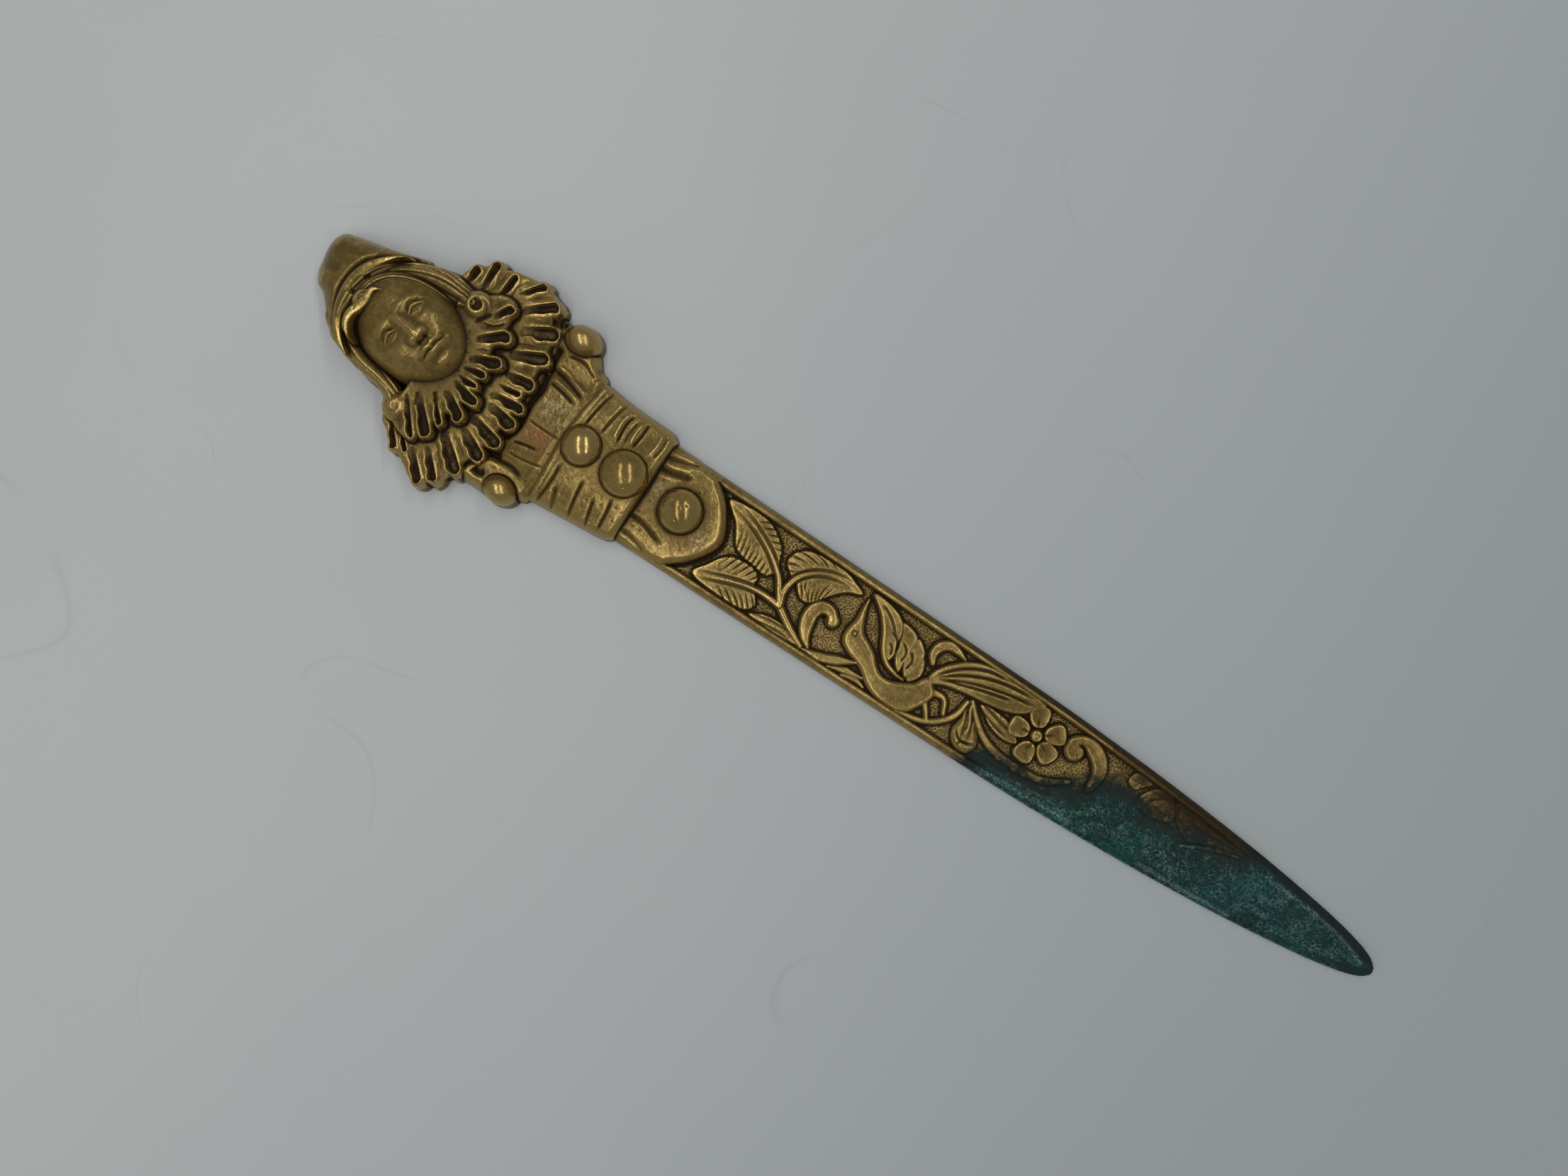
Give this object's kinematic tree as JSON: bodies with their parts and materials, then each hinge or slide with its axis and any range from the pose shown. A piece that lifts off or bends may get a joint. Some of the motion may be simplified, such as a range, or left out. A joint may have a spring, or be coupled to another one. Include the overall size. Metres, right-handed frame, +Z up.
{
  "type": "letter opener",
  "caption": "Cast brass letter opener with a long tapering blade in low relief, and a half-length costumed figure in a pleated ruff and soft cap as its grip.",
  "frame": {"origin": "middle of the whole length and width, on the flat back", "axes": "+X along the blade to its tip, +Z up out of the relief, +Y across the blade"},
  "size_m": [0.2174, 0.041, 0.0125],
  "materials": {
    "blade_brass": "aged cast brass, stippled ground, green patina towards the tip",
    "relief_brass": "aged cast brass, rubbed bright on the high places",
    "figure_brass": "aged cast brass, rubbed bright on the high places, dark in the hollows"
  },
  "bodies": {
    "root": {"apron": "figure_brass", "bird_body": "relief_brass", "bird_tail": "relief_brass", "bird_wing": "relief_brass", "blade": "blade_brass", "blossom_eye": "relief_brass", "blossom_leaf": "relief_brass", "blossom_petals": "relief_brass", "blossom_twig": "relief_brass", "bodice": "figure_brass", "bud": "relief_brass", "button_lower": "figure_brass", "button_middle": "figure_brass", "button_upper": "figure_brass", "cap_band": "figure_brass", "cap_crown": "figure_brass", "cap_knot": "figure_brass", "curl_left": "figure_brass", "curl_right": "figure_brass", "figure_back": "figure_brass", "forelock": "figure_brass", "grass_leaves": "relief_brass", "hair_left": "figure_brass", "hair_right": "figure_brass", "head": "figure_brass", "leaf_edge": "relief_brass", "leaf_lower": "relief_brass", "leaf_right": "relief_brass", "leaf_upper": "relief_brass", "panel_border": "blade_brass", "perch_twig": "relief_brass", "pompom_left": "figure_brass", "pompom_right": "figure_brass", "ruff_lower_tier": "figure_brass", "ruff_upper_tier": "figure_brass", "sash": "figure_brass", "scroll_left": "relief_brass", "scroll_middle": "relief_brass", "scroll_right": "relief_brass", "spray_stem": "relief_brass", "tip_leaves": "relief_brass", "waist_cord": "figure_brass"}
  },
  "joints": []
}
